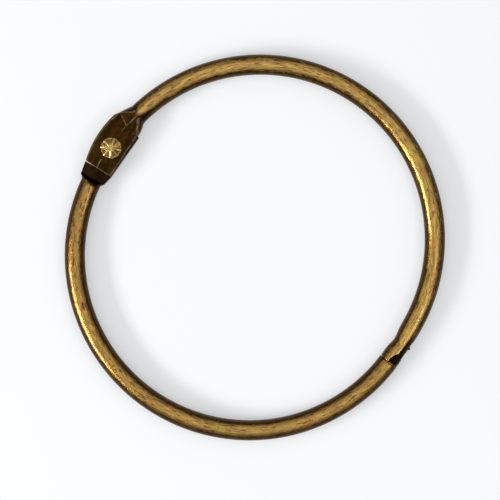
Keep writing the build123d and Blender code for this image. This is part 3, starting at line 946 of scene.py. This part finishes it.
# %% The rivet's finish
def bright_brass():
    material, tree = new_material("bright_rivet_brass")
    place = step(tree, "ShaderNodeTexCoord").outputs["Object"]
    dents = noise(tree, place, 2600.0, 4.0, 0.6)
    groove_darkening = step(tree, "ShaderNodeAttribute", attribute_name="groove_darkening").outputs["Fac"]
    groove_darkening = ramp(tree, calc(tree, "ADD", groove_darkening, calc(tree, "MULTIPLY", dents, 0.5)), 0.45, 1.1)
    golden = blend_colour(tree, ramp(tree, dents, 0.35, 0.65), (0.30, 0.17, 0.035), (0.62, 0.42, 0.15))
    colour = blend_colour(tree, groove_darkening, golden, (0.15, 0.08, 0.022))
    rough = calc(tree, "ADD", 0.27, calc(tree, "MULTIPLY", groove_darkening, 0.2))
    bump = step(tree, "ShaderNodeBump", {"Strength": 0.6, "Distance": 0.00004, "Height": dents})
    shader = step(tree, "ShaderNodeBsdfPrincipled", {
        "Base Color": colour, "Roughness": rough, "Normal": bump.outputs[0], "Metallic": 1.0,
    })
    step(tree, "ShaderNodeOutputMaterial", {"Surface": shader.outputs[0]})
    return material


places = points_mm(rivet)
from_axis = np.hypot(places[:, 0] - hinge_x, places[:, 1] - hinge_y)
dome = HEAD_TOP - (HEAD_TOP - HEAD_RIM_Z) * (from_axis / HEAD_R) ** DOME_POWER
# Darker the further a point sinks below the dome.
groove_darkening = share(dome - places[:, 2], 0.05, 0.26) * (places[:, 2] > HEAD_BASE - 0.01)
store(rivet, "groove_darkening", groove_darkening)
rivet_finish = bright_brass()
print("finish:", rivet_finish.name)

# %% [markdown]
# ## Join the pieces to the moving bodies
# Each skin stands for one imported node and rides on the same body, so the hinge turns what is seen.

# %% Ride, replace and give the finishes
for piece, body, node, finish, slot_name in (
    (upper_half, "upper_half", "upper_half_ring", ring_finish, "antique_brass"),
    (lower_half, "lower_half", "lower_half_ring", ring_finish, "antique_brass"),
    (rivet, "upper_half", "hinge_rivet", rivet_finish, "bright_brass"),
):
    piece.data.materials.clear()
    piece.data.materials.append(finish)
    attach(piece, body)
    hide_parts(node)
    frame["nodes"][node].data.materials.clear()
    frame["nodes"][node].data.materials.append(finish)
    print(piece.name, "rides on", body)

# %% [markdown]
# ## A plain floor and soft light
# Metal shows mostly what surrounds it, so the surroundings are kept plain: a pale floor, a pale sky,
# and one soft lamp low at the lower left, which draws the thin bright line along the tube and lays a
# short soft shadow on the other side. The sky is bright overhead and dim near the floor. An even sky
# would light the tube's flanks as much as its crest, and the tube would look flat.

# %% Floor, sky and lamp
FLOOR_SIZE = 2.0
SHADOW_LIFT = 0.35
SKY_LOW, SKY_HIGH = 0.22, 1.16
SKY_DIM_BELOW, SKY_FULL_ABOVE = 0.35, 1.05
floor = new_piece("floor", np.array([(-1, -1, 0), (1, -1, 0), (1, 1, 0), (-1, 1, 0)])
                  * FLOOR_SIZE / 2 / MM, [(0, 1, 2, 3)])
floor_finish, floor_tree = new_material("pale_floor")
pale = step(floor_tree, "ShaderNodeBsdfPrincipled", {
    "Base Color": (0.925, 0.935, 0.945, 1), "Roughness": 0.9, "Specular IOR Level": 0.0,
})
glow = step(floor_tree, "ShaderNodeEmission", {"Color": (0.945, 0.96, 0.97, 1), "Strength": 1.0})
ray = step(floor_tree, "ShaderNodeLightPath")
seen = calc(floor_tree, "MAXIMUM", ray.outputs["Is Camera Ray"], ray.outputs["Is Glossy Ray"])
seen = calc(floor_tree, "MAXIMUM", seen, ray.outputs["Is Transmission Ray"])
lift = calc(floor_tree, "MULTIPLY", seen, SHADOW_LIFT)
mixed = step(floor_tree, "ShaderNodeMixShader", {0: lift, 1: pale.outputs[0], 2: glow.outputs[0]})
step(floor_tree, "ShaderNodeOutputMaterial", {"Surface": mixed.outputs[0]})
floor.data.materials.append(floor_finish)

sky = bpy.data.worlds.new("pale_sky")
sky.use_nodes = True
sky_tree = sky.node_tree
background = sky_tree.nodes["Background"]
background.inputs["Color"].default_value = (0.98, 0.99, 1.0, 1)
direction = step(sky_tree, "ShaderNodeTexCoord").outputs["Generated"]
climb = step(sky_tree, "ShaderNodeSeparateXYZ", {0: direction}).outputs["Z"]
rising = ramp(sky_tree, climb, SKY_DIM_BELOW, SKY_FULL_ABOVE)
span = {"Value": rising, "To Min": SKY_LOW, "To Max": SKY_HIGH}
strength = step(sky_tree, "ShaderNodeMapRange", span)
sky_tree.links.new(strength.outputs[0], background.inputs["Strength"])
bpy.context.scene.world = sky

LAMP_DISTANCE = 0.8


def add_window(name, heading, elevation, width, height, power):
    """A soft rectangular lamp that faces the ring from a level heading and an elevation."""
    rise = math.radians(elevation)
    toward = Vector((heading[0] * math.cos(rise), heading[1] * math.cos(rise), math.sin(rise)))
    data = bpy.data.lights.new(name, "AREA")
    data.shape = "RECTANGLE"
    data.size, data.size_y = width, height
    data.energy = power
    lamp = bpy.data.objects.new(name, data)
    lamp.location = toward * LAMP_DISTANCE
    lamp.rotation_euler = toward.to_track_quat("Z", "Y").to_euler()
    bpy.context.scene.collection.objects.link(lamp)
    return lamp


add_window("window", (-0.60, -0.80), 29, 0.42, 0.14, 4.4)
add_window("far_window", (0.99, 0.15), 55, 0.10, 0.10, 0.30)
print("two windows,", LAMP_DISTANCE, "m away")

# %% [markdown]
# ## The camera
# The ring is seen from straight above, a long way off, turned so that its hinge is at the upper
# left and its catch at the lower right. A long lens keeps the far and near rims the same size.

# %% Camera
VIEW_WIDTH = 0.0739
VIEW_MIDDLE = (-0.00039, -0.00071)
VIEW_TURN = 33.42
LENS = 200.0
SENSOR = 36.0
view_distance = VIEW_WIDTH * LENS / SENSOR
camera_data = bpy.data.cameras.new("camera")
camera_data.lens = LENS
camera_data.sensor_width = SENSOR
camera_data.clip_end = 10
camera = bpy.data.objects.new("camera", camera_data)
camera.location = (*VIEW_MIDDLE, tube_r * MM + view_distance)
camera.rotation_euler = (0, 0, math.radians(VIEW_TURN))
bpy.context.scene.collection.objects.link(camera)
bpy.context.scene.camera = camera
bpy.context.scene.view_settings.view_transform = "Standard"
print(f"camera {view_distance:.3f} m above the ring")
